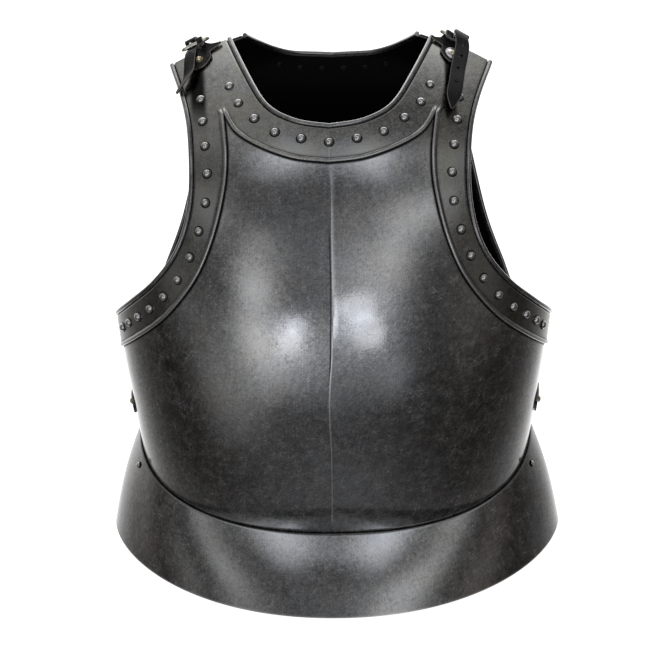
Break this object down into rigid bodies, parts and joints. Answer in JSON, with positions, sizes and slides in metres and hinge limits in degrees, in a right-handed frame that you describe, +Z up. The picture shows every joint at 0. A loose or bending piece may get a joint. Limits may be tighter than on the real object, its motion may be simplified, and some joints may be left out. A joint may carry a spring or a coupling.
{
  "type": "steel breastplate and backplate (cuirass)",
  "caption": "Polished steel breastplate strapped to its backplate, with riveted borders round the neck and arms and a flared skirt lame below the waist.",
  "frame": {"origin": "middle of the bounding box, on the plane that the skirt's rim stands on", "axes": "+Z up toward the neck, -Y out of the chest, +X toward the wearer's left arm"},
  "size_m": [0.441, 0.34, 0.4821],
  "materials": {
    "plate_steel": "polished dark steel with light wear",
    "border_steel": "polished steel, slightly mottled",
    "rivet_steel": "polished domed heads",
    "buckle_steel": "bright nickel-coloured steel",
    "brass": "polished",
    "black_leather": "smooth black strap leather"
  },
  "bodies": {
    "root": {"breastplate": "plate_steel", "front_border": "border_steel", "front_fauld": "plate_steel", "backplate": "plate_steel", "back_border": "border_steel", "back_fauld": "plate_steel", "neck_rivet_middle": "rivet_steel", "neck_rivet_left_1": "rivet_steel", "neck_rivet_right_1": "rivet_steel", "neck_rivet_left_2": "rivet_steel", "neck_rivet_right_2": "rivet_steel", "neck_rivet_left_3": "rivet_steel", "neck_rivet_right_3": "rivet_steel", "neck_rivet_left_4": "rivet_steel", "neck_rivet_right_4": "rivet_steel", "neck_rivet_left_5": "rivet_steel", "neck_rivet_right_5": "rivet_steel", "arm_rivet_left_1": "rivet_steel", "arm_rivet_right_1": "rivet_steel", "arm_rivet_left_2": "rivet_steel", "arm_rivet_right_2": "rivet_steel", "arm_rivet_left_3": "rivet_steel", "arm_rivet_right_3": "rivet_steel", "arm_rivet_left_4": "rivet_steel", "arm_rivet_right_4": "rivet_steel", "arm_rivet_left_5": "rivet_steel", "arm_rivet_right_5": "rivet_steel", "arm_rivet_left_6": "rivet_steel", "arm_rivet_right_6": "rivet_steel", "arm_rivet_left_7": "rivet_steel", "arm_rivet_right_7": "rivet_steel", "arm_rivet_left_8": "rivet_steel", "arm_rivet_right_8": "rivet_steel", "arm_rivet_left_9": "rivet_steel", "arm_rivet_right_9": "rivet_steel", "arm_rivet_left_10": "rivet_steel", "arm_rivet_right_10": "rivet_steel", "arm_rivet_left_11": "rivet_steel", "arm_rivet_right_11": "rivet_steel", "arm_rivet_left_12": "rivet_steel", "arm_rivet_right_12": "rivet_steel", "arm_rivet_left_13": "rivet_steel", "arm_rivet_right_13": "rivet_steel", "shoulder_base_left": "black_leather", "shoulder_rivet_left": "brass", "shoulder_buckle_left": "buckle_steel", "shoulder_strap_left": "black_leather", "shoulder_back_rivet_left": "brass", "shoulder_base_right": "black_leather", "shoulder_rivet_right": "brass", "shoulder_buckle_right": "buckle_steel", "shoulder_strap_right": "black_leather", "shoulder_back_rivet_right": "brass", "side_strap_left": "black_leather", "side_rivet_left": "brass", "side_buckle_left": "buckle_steel", "side_strap_right": "black_leather", "side_rivet_right": "brass", "side_buckle_right": "buckle_steel"}
  },
  "joints": []
}
